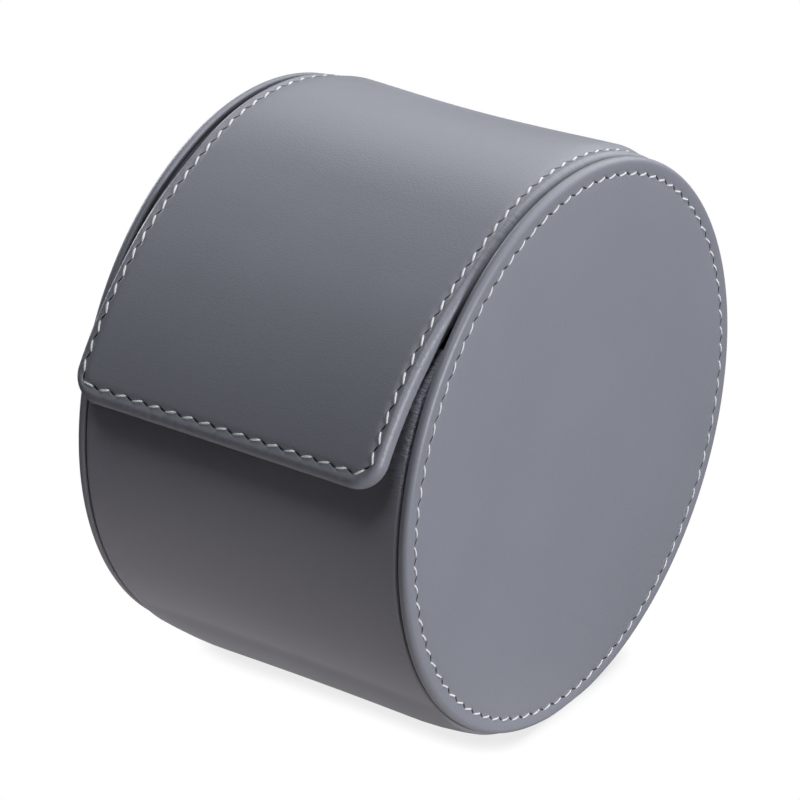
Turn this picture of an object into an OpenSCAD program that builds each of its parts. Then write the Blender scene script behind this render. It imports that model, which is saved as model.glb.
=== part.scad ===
// Round travel case for one watch: a leather barrel lying on its side, with a
// padded, stitched cap on each end, a curved flap hinged behind the top and
// held by hidden magnets, and a loose cushion inside that carries the watch.
// X runs along the barrel's axis, the flap opens towards -Y, and Z is up.
// The origin lies on the surface that the case rests on, below the axis.

/* [Case] */
// Diameter over the caps and the ends of the barrel
case_diameter = 95; // [85:1:115]
// Length of the barrel between its two caps
barrel_length = 60; // [52:1:90]
// How far the barrel and flap draw in at mid length
waist_depth = 0.4; // [0:0.1:0.8]
// Width of the flat that stops the case from rolling
base_flat_width = 16; // [14:1:20]
// Radius of the fuller curve into which the barrel swells beside that flat
base_swell_radius = 30; // [27:1:31]
// How far beyond the flat's edges those curves meet the ground
base_swell_spread = 1.5; // [0:0.5:2.5]

/* [Materials] */
// Outer leather
leather_thickness = 1; // [0.8:0.1:1.4]
// Fibre board inside the barrel's wall
wall_board_thickness = 1.5; // [1.2:0.1:2.5]
// Springy board inside the flap
flap_board_thickness = 1.2; // [1:0.1:1.6]
// Board inside each cap
cap_board_thickness = 0.6; // [0.6:0.1:1.6]
// Leather over the caps, pared thinner
cap_leather_thickness = 0.7; // [0.7:0.1:1.4]
// Suede lining
lining_thickness = 0.5; // [0.4:0.1:0.8]

/* [Opening] */
// Angle of the barrel's front lip above the horizontal
lip_angle = 42; // [38:1:46]
// Angle of the hinge line, measured from the front over the top
hinge_angle = 135; // [128:1:145]
// Width of the thin leather fold between flap and barrel
fold_width = 4; // [3.5:0.1:6]
// Depth of the leather facing turned in over the front lip
lip_facing_depth = 9; // [6:1:14]

/* [Flap] */
// Angle at which the flap starts to stand off the barrel
tail_start_angle = 60; // [56:1:66]
// How far the flap turns outwards there
tail_turn = 4.7; // [3:0.1:6]
// Outer radius of the flatter curve below that angle
tail_radius = 64; // [60:1:80]
// Length of the flatter curve, down to the flap's edge
tail_length = 40.4; // [36:0.2:44]
// Radius of the two corners at the flap's edge
flap_corner_radius = 5; // [3:0.5:8]
// Side play between the flap and each cap
flap_side_gap = 0.5; // [0.3:0.1:0.8]
// Play between the flap and the barrel's lip
lip_gap = 0.3; // [0.2:0.1:0.6]
// Leather border turned under the flap's lining
flap_border = 6; // [4:0.5:9]

/* [Caps] */
// Height of the padded dome above the cap's rim
cap_crown = 1.2; // [0.6:0.1:2.5]
// Distance of the stitched channel in from the rim
stitch_inset = 2.6; // [2.2:0.1:3.5]
// Width of the stitched channel
channel_width = 1.6; // [1:0.1:2]
// Depth of the stitched channel
channel_depth = 0.25; // [0.1:0.05:0.35]
// Open seam between each cap and the barrel
seam_gap = 0.25; // [0.2:0.05:0.4]

/* [Magnets] */
// Diameter of each closing magnet
magnet_diameter = 8; // [6:0.5:9]
// Thickness of the magnets in the flap
flap_magnet_thickness = 0.8; // [0.6:0.1:0.9]
// Thickness of the magnets in the barrel's wall
wall_magnet_thickness = 1; // [0.8:0.1:1.2]
// Distance between the two magnets of a pair
magnet_spacing = 28; // [20:1:36]
// Angle of the barrel's magnets above the horizontal
wall_magnet_angle = 28; // [24:0.5:30]
// Distance of the flap's magnets from the flap's edge
flap_magnet_inset = 12.6; // [10:0.2:16]
// Play around a magnet in its pocket
magnet_gap = 0.1; // [0.05:0.05:0.2]

/* [Cushion] */
// Height of the cushion, over its piping
cushion_height = 46; // [38:1:50]
// Depth of the cushion from front to back, over its piping
cushion_depth = 56; // [50:1:58]
// Play between the cushion and each cap
cushion_side_gap = 2.2; // [1.5:0.1:5]
// Play between the resting cushion and the lining
cushion_gap = 0.3; // [0.3:0.05:0.5]
// Thickness of the cushion's suede cover and end panels
cover_thickness = 1.2; // [1:0.1:1.6]
// Radius of the piping around each end of the cushion
piping_radius = 1.3; // [1:0.1:1.6]

/* [Hidden] */
$fn = 96;

grey_leather = [0.47, 0.48, 0.52];
grey_suede = [0.30, 0.31, 0.34];
fibre_board = [0.55, 0.49, 0.42];
foam = [0.80, 0.79, 0.75];
nickel = [0.75, 0.75, 0.76];

case_radius = case_diameter / 2;
axis_height = sqrt(pow(case_radius, 2) - pow(base_flat_width / 2, 2));
half_length = barrel_length / 2;
half_turn = 180;

// Radii of the wall's layers, from the outside in
board_outer_radius = case_radius - waist_depth - leather_thickness;
board_inner_radius = board_outer_radius - wall_board_thickness;
bore_radius = board_inner_radius - lining_thickness;

// Depths of the flap's layers below its outer face at the sides
flap_skin_depth = case_radius - board_outer_radius;
flap_board_depth = flap_skin_depth + flap_board_thickness;
flap_depth = flap_board_depth + lining_thickness;

// Angles of the fold's two edges, and of the boards behind turned leather
fold_half_angle = arc_angle(case_radius, fold_width / 2);
turn_angle = arc_angle(case_radius, leather_thickness);
flap_end_angle = hinge_angle - fold_half_angle;
wall_end_angle = hinge_angle + fold_half_angle;
board_lip_angle = lip_angle - 3 * turn_angle;
lining_lip_angle = lip_angle - arc_angle(case_radius, lip_facing_depth);

// Path of the flap's outer face, from the fold down to its edge
flap_half_width = half_length - flap_side_gap;
flap_arc_length = arc_length(case_radius, flap_end_angle - tail_start_angle);
flap_length = flap_arc_length + tail_length;
tail_centre = along(case_radius, tail_start_angle)
            - along(tail_radius, tail_start_angle + tail_turn);
flap_arc_steps = 16;
flap_tail_steps = 10;
flap_tip_steps = 8;

// How deep the fuller curves sink into the ground, how far a blank that cuts reaches past
// the faces it shares, the play of the board in its pocket, and the glue under the lining
base_press = 0.05;
cut_margin = 1;
pocket_play = 0.1;
glue_gap = 0.04;

// Roundings, and the steps that curved surfaces are drawn in
edge_round = 0.6;
waist_steps = 12;
round_steps = 5;
dome_steps = 10;

// Places along X from the barrel's end outwards
cap_lining_end = half_length + lining_thickness;
cap_board_end = cap_lining_end + cap_board_thickness;
cap_rim_end = cap_board_end + cap_leather_thickness;
rim_round = min(leather_thickness, cap_rim_end - half_length - seam_gap - edge_round);
stitch_radius = case_radius - stitch_inset;
dome_radius = stitch_radius - channel_width / 2;
cap_board_radius = board_outer_radius + waist_depth / 2;
cap_lining_radius = board_outer_radius;

cushion_half_length = half_length - cushion_side_gap;
cushion_end_radius = cushion_height / 2;
cushion_end_offset = (cushion_depth - cushion_height) / 2;
cushion_reach = bore_radius - cushion_gap - cushion_end_radius;
cushion_drop = sqrt(pow(cushion_reach, 2) - pow(cushion_end_offset, 2));
cover_outer_radius = cushion_end_radius - piping_radius / 2;
cover_inner_radius = cover_outer_radius - cover_thickness;
panel_radius = cushion_end_radius - 2 * piping_radius;
sleeve_half_length = cushion_half_length - 2 * piping_radius;

function arc_angle(radius, length) = length / radius * half_turn / PI;
function arc_length(radius, angle) = angle * radius * PI / half_turn;

// Point at a distance from the axis, at an angle measured from the front upwards
function along(radius, angle) = [-radius * cos(angle), radius * sin(angle)];

// Places what is drawn in the plane of (depth, height) around the barrel's axis
module about_axis() {
    translate([0, 0, axis_height])
        rotate([90, 0, 90])
            children();
}

// Turns a profile from one angle to a lower one, both measured from the front
module sweep(upper_angle, lower_angle) {
    rotate([0, 0, half_turn - upper_angle])
        rotate_extrude(angle = upper_angle - lower_angle)
            children();
}

// Lateral outline of a skin: straight inside, drawn in by the waist outside
function skin_points(inner, outer, half_width, waist, round) = round == 0
    ? [[inner, half_width], [inner, -half_width], [outer, -half_width], [outer, half_width]]
    : concat(
    [[inner, half_width], [inner, -half_width]],
    [for (i = [0 : round_steps])
        let (a = 90 * i / round_steps)
        [outer - round + round * sin(a), -half_width + round - round * cos(a)]],
    [for (i = [1 : waist_steps - 1])
        let (x = (half_width - round) * (2 * i / waist_steps - 1))
        [outer - waist * (1 - pow(x / (half_width - round), 2)), x]],
    [for (i = [0 : round_steps])
        let (a = 90 * i / round_steps)
        [outer - round + round * cos(a), half_width - round + round * sin(a)]]
);

module skin(inner, outer, half_width, waist = 0, round = 0) {
    polygon(skin_points(inner, outer, half_width, waist, round));
}

// Everything above the surface that the case rests on
module above_ground() {
    intersection() {
        union() {
            children();
        }
        translate([-case_diameter, -case_diameter, 0])
            cube([2 * case_diameter, 2 * case_diameter, 2 * case_diameter]);
    }
}

// Room behind the flap's inner face, less a skin of the given depth
module behind_flap(depth) {
    about_axis()
        translate(tail_centre)
            cylinder(r = tail_radius - flap_depth - lip_gap - depth,
                     h = 2 * barrel_length, center = true);
}

// ---- Barrel ----

// Crescents on both sides of the flat, where the barrel has sat down and swollen a little
module base_swell() {
    difference() {
        for (side = [-1, 1])
            translate([0, side * (base_flat_width / 2 + base_swell_spread),
                       base_swell_radius - base_press])
                rotate([0, 90, 0])
                    cylinder(r = base_swell_radius, h = barrel_length, center = true);
        about_axis()
            cylinder(r = (case_radius + board_outer_radius) / 2,
                     h = 2 * barrel_length, center = true);
    }
}

// Full wall from the lip, under the case and up to the hinge
module wall_envelope() {
    above_ground() {
        intersection() {
            about_axis()
                sweep(lip_angle, wall_end_angle - 2 * half_turn)
                    skin(bore_radius, case_radius, half_length, waist_depth, edge_round);
            behind_flap(0);
        }
        base_swell();
    }
}

// The margins carry these blanks past the wall's faces where they are cut out of the leather
module wall_board_blank(margin = 0) {
    intersection() {
        about_axis()
            sweep(board_lip_angle, wall_end_angle + turn_angle - 2 * half_turn)
                skin(board_inner_radius, board_outer_radius, half_length + margin);
        behind_flap(leather_thickness);
    }
}

module wall_lining_blank(margin = 0) {
    about_axis()
        sweep(lining_lip_angle, wall_end_angle - 2 * half_turn - margin)
            skin(bore_radius - margin, board_inner_radius, half_length + margin);
}

// One disc on each side of the case's middle, both facing outwards
module magnet_pair(thickness, play) {
    for (side = [-1, 1])
        translate([0, 0, side * magnet_spacing / 2])
            rotate([0, 90, 0])
                cylinder(d = magnet_diameter + 2 * play, h = thickness, center = true);
}

module in_wall_board() {
    about_axis()
        rotate([0, 0, half_turn - wall_magnet_angle])
            translate([board_outer_radius - wall_board_thickness / 2, 0, 0])
                children();
}

module barrel_board() {
    color(fibre_board)
        difference() {
            wall_board_blank();
            in_wall_board()
                magnet_pair(2 * wall_board_thickness, magnet_gap);
        }
}

module barrel_leather() {
    color(grey_leather)
        difference() {
            wall_envelope();
            wall_board_blank(cut_margin);
            wall_lining_blank(cut_margin);
        }
}

module barrel_lining() {
    color(grey_suede)
        wall_lining_blank();
}

module barrel_magnets() {
    color(nickel)
        in_wall_board()
            magnet_pair(wall_magnet_thickness, 0);
}

// ---- Caps ----

// Height of a domed layer over the rim at a given distance from the centre
function dome(r) = cap_crown * (1 - pow(max(r, dome_radius / dome_steps) / dome_radius, 2));

function cap_points() = concat(
    [[0, half_length + seam_gap]],
    [[case_radius - edge_round, half_length + seam_gap]],
    [for (i = [1 : round_steps])
        let (a = 90 * i / round_steps)
        [case_radius - edge_round + edge_round * sin(a),
         half_length + seam_gap + edge_round - edge_round * cos(a)]],
    [for (i = [0 : round_steps])
        let (a = 90 * i / round_steps)
        [case_radius - rim_round + rim_round * cos(a),
         cap_rim_end - rim_round + rim_round * sin(a)]],
    [for (i = [0 : round_steps])
        let (s = 1 - 2 * i / round_steps)
        [stitch_radius + s * channel_width / 2,
         cap_rim_end - channel_depth * (1 - s * s)]],
    [for (i = [1 : dome_steps])
        let (r = dome_radius * (1 - i / dome_steps))
        [r, cap_rim_end + dome(r)]]
);

module cap_envelope() {
    above_ground()
        about_axis()
            rotate_extrude()
                polygon(cap_points());
}

module cap_disc(radius, from_x, to_x) {
    about_axis()
        translate([0, 0, from_x])
            cylinder(r = radius, h = to_x - from_x);
}

// Foam between the board and the leather, as high as the dome
module cap_pad_blank() {
    about_axis()
        translate([0, 0, cap_board_end])
            rotate_extrude()
                polygon(concat(
                    [[0, 0]],
                    [for (i = [0 : dome_steps])
                        let (r = dome_radius * (1 - i / dome_steps))
                        [r, dome(r)]]));
}

module on_left() {
    mirror([1, 0, 0])
        children();
}

module right_cap_board() {
    color(fibre_board)
        cap_disc(cap_board_radius, cap_lining_end, cap_board_end);
}

module right_cap_pad() {
    color(foam)
        cap_pad_blank();
}

module right_cap_leather() {
    color(grey_leather)
        difference() {
            cap_envelope();
            cap_disc(cap_lining_radius, half_length - seam_gap, cap_lining_end);
            cap_disc(cap_board_radius, cap_lining_end, cap_board_end);
            cap_pad_blank();
        }
}

module right_cap_lining() {
    color(grey_suede)
        cap_disc(cap_lining_radius, half_length, cap_lining_end);
}

module left_cap_board() {
    on_left() right_cap_board();
}

module left_cap_pad() {
    on_left() right_cap_pad();
}

module left_cap_leather() {
    on_left() right_cap_leather();
}

module left_cap_lining() {
    on_left() right_cap_lining();
}

// ---- Flap ----

// Where the flap's outer face is at a distance from the fold, and which way it faces there
function flap_facing(distance) = distance < flap_arc_length
    ? flap_end_angle - arc_angle(case_radius, distance)
    : tail_start_angle + tail_turn - arc_angle(tail_radius, distance - flap_arc_length);
function flap_place(distance) = distance < flap_arc_length
    ? along(case_radius, flap_facing(distance))
    : tail_centre + along(tail_radius, flap_facing(distance));

// Distances from the fold at which the flap's outline is drawn, the same for every layer
// until its round corners, so that the layers meet in the same facets. A shift moves them
// by a share of a step, for a blank whose facets must not meet those of what it cuts
function flap_stations(start, end, shift) = concat(
    [start],
    [for (i = [1 : flap_arc_steps])
        flap_arc_length * (i - shift) / flap_arc_steps],
    [for (i = [1 : flap_tail_steps])
        let (s = flap_arc_length + tail_length * (i - shift) / flap_tail_steps)
        if (s < end - flap_corner_radius - edge_round) s],
    [for (i = [0 : flap_tip_steps])
        end - flap_corner_radius * (1 - sin(90 * i / flap_tip_steps))]
);

// How much a round corner or edge of a given radius takes away near its end
function rounding(radius, to_end) = to_end >= radius
    ? 0
    : radius - sqrt(pow(radius, 2) - pow(radius - to_end, 2));

// One layer of the flap between two depths below its outer face, inset from the outline
module flap_layer(outer_depth, inner_depth, inset, start = 0, waist = 0, round = 0, shift = 0) {
    end = flap_length - inset;
    stations = flap_stations(start, end, shift);
    rings = [for (s = stations)
        let (half_width = flap_half_width - inset - rounding(flap_corner_radius, end - s),
             drop = rounding(round, end - s),
             facing = flap_facing(s),
             place = flap_place(s))
        [for (p = skin_points(-inner_depth, -outer_depth - drop, half_width, waist, round))
            let (spot = place + along(p[0], facing))
            [p[1], spot[0], spot[1]]]];
    count = len(rings[0]);
    last = len(rings) - 1;
    translate([0, 0, axis_height])
        polyhedron(
            points = [for (ring = rings) each ring],
            faces = concat(
                [[for (j = [count - 1 : -1 : 0]) j]],
                [[for (j = [0 : count - 1]) last * count + j]],
                [for (i = [0 : last - 1], j = [0 : count - 1])
                    let (k = (j + 1) % count)
                    [i * count + j, i * count + k, (i + 1) * count + k, (i + 1) * count + j]]));
}

module flap_board_blank() {
    flap_layer(flap_skin_depth, flap_board_depth, leather_thickness, leather_thickness);
}

// The lining's place in the leather, a little wider and open behind and towards the fold
module flap_lining_pocket() {
    flap_layer(flap_board_depth - pocket_play, flap_depth + cut_margin,
               flap_border - pocket_play, start = -cut_margin, shift = 0.5);
}

// Places what faces outwards in the flap's board, over the magnets of the wall
module in_flap_board() {
    distance = flap_length - flap_magnet_inset;
    place = flap_place(distance);
    about_axis()
        translate([place[0], place[1], 0])
            rotate([0, 0, half_turn - flap_facing(distance)])
                translate([-(flap_skin_depth + flap_board_depth) / 2, 0, 0])
                    children();
}

module flap_board() {
    color(fibre_board)
        difference() {
            flap_board_blank();
            in_flap_board()
                magnet_pair(2 * flap_board_thickness, magnet_gap);
        }
}

module flap_leather() {
    color(grey_leather)
        difference() {
            flap_layer(0, flap_depth, 0, 0, waist_depth, edge_round);
            flap_board_blank();
            flap_lining_pocket();
        }
}

module flap_lining() {
    color(grey_suede)
        flap_layer(flap_board_depth + glue_gap, flap_depth, flap_border);
}

module flap_magnets() {
    color(nickel)
        in_flap_board()
            magnet_pair(flap_magnet_thickness, 0);
}

// ---- Fold ----

module fold_leather() {
    color(grey_leather)
        about_axis()
            sweep(wall_end_angle, flap_end_angle)
                skin(board_outer_radius, case_radius, flap_half_width, waist_depth, edge_round);
}

module fold_lining() {
    color(grey_suede)
        about_axis()
            sweep(wall_end_angle, flap_end_angle)
                skin(board_outer_radius - lining_thickness, board_outer_radius, flap_half_width);
}

// ---- Cushion ----

// Places what is drawn in the plane of (depth, height) around the cushion's middle
module about_cushion() {
    translate([0, 0, -cushion_drop])
        about_axis()
            children();
}

// Round-ended outline with its two end centres where the cushion's are
module oval(radius) {
    union() {
        for (side = [-1, 1])
            translate([side * cushion_end_offset, 0])
                circle(r = radius);
        square([2 * cushion_end_offset, 2 * radius], center = true);
    }
}

module oval_roll(radius, length) {
    linear_extrude(height = length, center = true)
        oval(radius);
}

module cushion_core() {
    color(foam)
        about_cushion()
            oval_roll(cover_inner_radius, 2 * sleeve_half_length);
}

module cushion_cover() {
    color(grey_suede)
        about_cushion()
            difference() {
                oval_roll(cover_outer_radius, 2 * sleeve_half_length);
                oval_roll(cover_inner_radius, 3 * sleeve_half_length);
            }
}

module cushion_right_panel() {
    color(grey_suede)
        about_cushion()
            translate([0, 0, sleeve_half_length + cover_thickness / 2])
                oval_roll(panel_radius, cover_thickness);
}

// Cord around the joint of cover and end panel
module cushion_right_piping() {
    pipe_centre_radius = cushion_end_radius - piping_radius;
    color(grey_leather)
        about_cushion()
            translate([0, 0, cushion_half_length - piping_radius])
                for (side = [-1, 1]) {
                    translate([side * cushion_end_offset, 0, 0])
                        rotate([0, 0, -90 * side])
                            rotate_extrude(angle = half_turn)
                                translate([pipe_centre_radius, 0])
                                    circle(r = piping_radius, $fn = 32);
                    translate([0, side * pipe_centre_radius, 0])
                        rotate([0, 90, 0])
                            cylinder(r = piping_radius, h = 2 * cushion_end_offset,
                                     center = true, $fn = 32);
                }
}

module cushion_left_panel() {
    on_left() cushion_right_panel();
}

module cushion_left_piping() {
    on_left() cushion_right_piping();
}

barrel_board();
barrel_leather();
barrel_lining();
barrel_magnets();
left_cap_board();
left_cap_pad();
left_cap_leather();
left_cap_lining();
right_cap_board();
right_cap_pad();
right_cap_leather();
right_cap_lining();
flap_board();
flap_leather();
flap_lining();
flap_magnets();
fold_leather();
fold_lining();
cushion_core();
cushion_cover();
cushion_left_panel();
cushion_right_panel();
cushion_left_piping();
cushion_right_piping();
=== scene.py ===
# %% [markdown]
# # A round leather travel case for one watch
# The case is a leather barrel lying on its side. A padded, stitched cap closes
# each end, and a curved flap, hinged behind the top, closes the mouth in front.
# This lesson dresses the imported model: the soft leather skins, the thread and the
# cushion are made here as surfaces worked out with numpy, and the boards and
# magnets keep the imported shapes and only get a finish.

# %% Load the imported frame
import math

import bpy
import numpy as np
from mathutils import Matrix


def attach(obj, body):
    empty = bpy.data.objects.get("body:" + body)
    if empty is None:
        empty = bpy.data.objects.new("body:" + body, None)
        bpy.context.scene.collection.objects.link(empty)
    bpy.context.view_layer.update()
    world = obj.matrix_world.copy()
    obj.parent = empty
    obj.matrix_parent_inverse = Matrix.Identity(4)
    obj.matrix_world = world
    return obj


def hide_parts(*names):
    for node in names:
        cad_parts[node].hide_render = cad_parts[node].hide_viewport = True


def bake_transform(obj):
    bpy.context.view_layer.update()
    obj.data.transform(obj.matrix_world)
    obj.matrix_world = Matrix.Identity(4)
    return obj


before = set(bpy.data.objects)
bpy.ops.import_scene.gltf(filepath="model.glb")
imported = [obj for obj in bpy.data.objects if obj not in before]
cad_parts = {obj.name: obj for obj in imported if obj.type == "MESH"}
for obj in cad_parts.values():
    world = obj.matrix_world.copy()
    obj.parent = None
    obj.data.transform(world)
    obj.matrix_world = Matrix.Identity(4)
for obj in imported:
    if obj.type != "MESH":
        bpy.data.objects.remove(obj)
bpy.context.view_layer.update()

# %% [markdown]
# ## Sizes
# Everything is worked out in millimetres and scaled to metres when a mesh is
# written. Places around the barrel are given by a radius and an angle measured
# from the front over the top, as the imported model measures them.

# %% Sizes in millimetres
MM = 0.001
CASE_RADIUS = 47.5
AXIS_HEIGHT = math.sqrt(CASE_RADIUS ** 2 - 8.0 ** 2)
HALF_LENGTH = 30.0
WAIST = 0.4
LEATHER = 1.0
BOARD_OUTER, BOARD_INNER, BORE = 46.0, 44.5, 44.0
LIP_ANGLE = 42.0
TURNED_IN_TO = 31.1
HINGE_ANGLE = 135.0
HINGE_RADIUS = 46.6
FOLD_HALF_ANGLE = math.degrees(2.0 / CASE_RADIUS)
FLAP_TOP_ANGLE = HINGE_ANGLE - FOLD_HALF_ANGLE
WALL_REAR_ANGLE = HINGE_ANGLE + FOLD_HALF_ANGLE - 360.0
TAIL_START, TAIL_TURN, TAIL_RADIUS, TAIL_LENGTH = 60.0, 4.7, 64.0, 40.4
FLAP_DEPTH, FOLD_SKIN, FOLD_SLOPE, LINING = 3.2, 1.5, 1.5, 0.5
ARC_LENGTH = math.radians(FLAP_TOP_ANGLE - TAIL_START) * CASE_RADIUS
FLAP_LENGTH = ARC_LENGTH + TAIL_LENGTH
EASE_REACH, EASE_OVER = 8.0, 18.0
STITCH_PITCH = 3.24
SIDES = ((-1, "left"), (1, "right"))
print("flap length", round(FLAP_LENGTH, 1), "mm")

# %% Places around the barrel
def pairs(first, second):
    """Two values for every point, side by side."""
    return np.stack(np.broadcast_arrays(first, second), -1)


def along(radius, degrees):
    """Depth and height of a point at a radius and an angle from the front over the top."""
    a = np.radians(degrees)
    return pairs(-radius * np.cos(a), radius * np.sin(a))


def around_axis(x, radius, degrees):
    """Points at a place along the barrel, a radius and an angle: the polar form of a barrel."""
    x, radius, degrees = np.broadcast_arrays(x, radius, degrees)
    flat = along(radius, degrees)
    return np.stack([x, flat[..., 0], flat[..., 1] + AXIS_HEIGHT], -1)


TAIL_CENTRE = along(CASE_RADIUS, TAIL_START) - along(TAIL_RADIUS, TAIL_START + TAIL_TURN)


def two_arcs(distance, depth):
    """Depth and height of a point of the flap: on an arc of the barrel's radius from the
    fold, then on a flatter arc.

    The facing angle falls in step with the distance from the fold, at one rate on each
    arc, and a point stands at the arc's centre plus (radius - depth) along that angle.
    """
    on_arc = distance < ARC_LENGTH
    facing = np.where(
        on_arc,
        FLAP_TOP_ANGLE - np.degrees(distance / CASE_RADIUS),
        TAIL_START + TAIL_TURN - np.degrees((distance - ARC_LENGTH) / TAIL_RADIUS))
    radius = np.where(on_arc, CASE_RADIUS, TAIL_RADIUS) - depth
    return along(radius, facing) + np.where(on_arc[..., None], 0.0, TAIL_CENTRE)


def flap_surface(x, distance, depth):
    """Points of the flap: two arcs, and where they meet the mean of places up to
    EASE_REACH before and after, which turns the slight bend there into a gentle one."""
    x, distance, depth = np.broadcast_arrays(x, distance, depth)
    reach = EASE_REACH * np.clip(1.0 - ((distance - ARC_LENGTH) / EASE_OVER) ** 2, 0, 1)
    flat = np.mean([two_arcs(distance + step * reach, depth)
                    for step in np.linspace(-1.0, 1.0, 11)], axis=0)
    return np.stack([x, flat[..., 0], flat[..., 1] + AXIS_HEIGHT], -1)


# %% [markdown]
# ## Sheets and lathes
# Two builders cover nearly every piece. A *sheet* is a piece of leather or suede
# with two faces: both are grids of the same size, and strips join their borders,
# so the piece is closed. A *lathe* turns a profile about an axis and closes it at
# its two poles. Both take whole arrays of points and write the mesh in one go.

# %% Mesh helpers
def write_mesh(name, points, quads, triangles=(), uv=None, uv_quads=None, uv_triangles=()):
    """A smooth object from points in millimetres, with an optional map of flat places.

    uv has its own numbering, so a map may end at one value where it starts at another.
    """
    mesh = bpy.data.meshes.new(name)
    quads = np.asarray(quads, int).reshape(-1, 4)
    triangles = np.asarray(triangles, int).reshape(-1, 3)
    mesh.from_pydata((np.asarray(points, float).reshape(-1, 3) * MM).tolist(), [],
                     quads.tolist() + triangles.tolist())
    mesh.polygons.foreach_set("use_smooth", np.ones(len(mesh.polygons), bool))
    if uv is not None:
        uv_quads = quads if uv_quads is None else np.asarray(uv_quads, int).reshape(-1, 4)
        uv_triangles = np.asarray(uv_triangles, int).reshape(-1, 3)
        corners = np.concatenate([uv_quads.ravel(), uv_triangles.ravel()])
        layer = mesh.uv_layers.new(name="seam_line")
        layer.data.foreach_set("uv", np.asarray(uv, float).reshape(-1, 2)[corners].ravel())
    mesh.update()
    piece = bpy.data.objects.new(name, mesh)
    bpy.context.collection.objects.link(piece)
    print(f"{name}: {len(points)} points, {len(mesh.polygons)} faces")
    return piece


def grid_quads(rows, columns, first=0, rows_meet=False, columns_meet=False):
    """Corners of the cells of a grid of points numbered row by row. Where its last row
    or column meets its first, the cells between them count too."""
    i, j = np.meshgrid(np.arange(rows - (not rows_meet)),
                       np.arange(columns - (not columns_meet)), indexing="ij")
    below, beside = (i + 1) % rows, (j + 1) % columns
    corners = i * columns + j, below * columns + j, below * columns + beside, i * columns + beside
    return first + np.stack(corners, -1).reshape(-1, 4)


def inside_out(points, quads):
    """Whether faces point inwards: the sum of each face's first corner dotted with the
    cross product of its next two is six times a volume, with its sign."""
    a, b, c = (points[quads[:, k]] for k in range(3))
    return np.einsum("ij,ij->i", a, np.cross(b, c)).sum() < 0


def sheet(name, outer, inner, uv=None):
    """A closed sheet from the grids of its two faces: cells of both, and strips between them."""
    rows, columns = outer.shape[:2]
    count = rows * columns
    front = grid_quads(rows, columns)
    back = grid_quads(rows, columns, count)[:, ::-1]
    index = np.arange(count).reshape(rows, columns)
    border = np.concatenate([index[0, :-1], index[:-1, -1], index[-1, :0:-1], index[:0:-1, 0]])
    after = np.roll(border, -1)
    strip = np.stack([border, after, after + count, border + count], -1)
    points = np.concatenate([outer.reshape(-1, 3), inner.reshape(-1, 3)])
    quads = np.concatenate([front, back, strip])
    i, j = rows // 2, columns // 2
    a, b, c = outer[i, j], outer[i + 1, j], outer[i, j + 1]
    if np.dot(np.cross(b - a, c - a), a - inner[i, j]) < 0:
        quads = quads[:, ::-1]
    map_points = None if uv is None else np.concatenate([uv.reshape(-1, 2)] * 2)
    return write_mesh(name, points, quads, uv=map_points)


def lathe(name, profile, turn, steps, uv=None):
    """A closed solid from a profile of (radius, place) that starts and ends at radius nought.

    turn takes radius, place and angle arrays and gives the points, so a lathe can stand on
    any axis or be drawn out to an oval. The two poles are single points.
    """
    radius, place = profile[1:-1, 0], profile[1:-1, 1]
    angle = np.linspace(0.0, 360.0, steps, endpoint=False)
    rings = turn(radius[None, :], place[None, :], angle[:, None])
    poles = turn(profile[[0, -1], 0], profile[[0, -1], 1], np.zeros(2))
    points = np.concatenate([rings.reshape(-1, 3), poles])
    columns = len(radius)
    near, count = np.arange(steps) * columns, steps * columns
    after = np.roll(near, -1)
    quads = grid_quads(steps, columns, rows_meet=True)
    uv_quads = grid_quads(steps + 1, columns)
    triangles = np.concatenate([
        np.stack([np.full(steps, count), after, near], -1),
        np.stack([np.full(steps, count + 1), near + columns - 1, after + columns - 1], -1)])
    if inside_out(points, quads):
        quads, uv_quads, triangles = quads[:, ::-1], uv_quads[:, ::-1], triangles[:, ::-1]
    if uv is None:
        return write_mesh(name, points, quads, triangles)
    uv_near = np.stack([near, near + columns, near], -1)
    return write_mesh(name, points, quads, triangles, uv_quads=uv_quads,
                      uv=uv(radius, np.arange(steps + 1)[:, None] / steps),
                      uv_triangles=np.concatenate([uv_near, uv_near + columns - 1]))


# %% [markdown]
# ## Finishes
# Effects that more than one material uses are node groups: the fine grain of the
# leather, the nap of the suede, and the row of needle holes that a stitched line
# leaves. Each group gives out a height or a mask, and the shader that turns them
# into a surface stays in the material.

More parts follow.
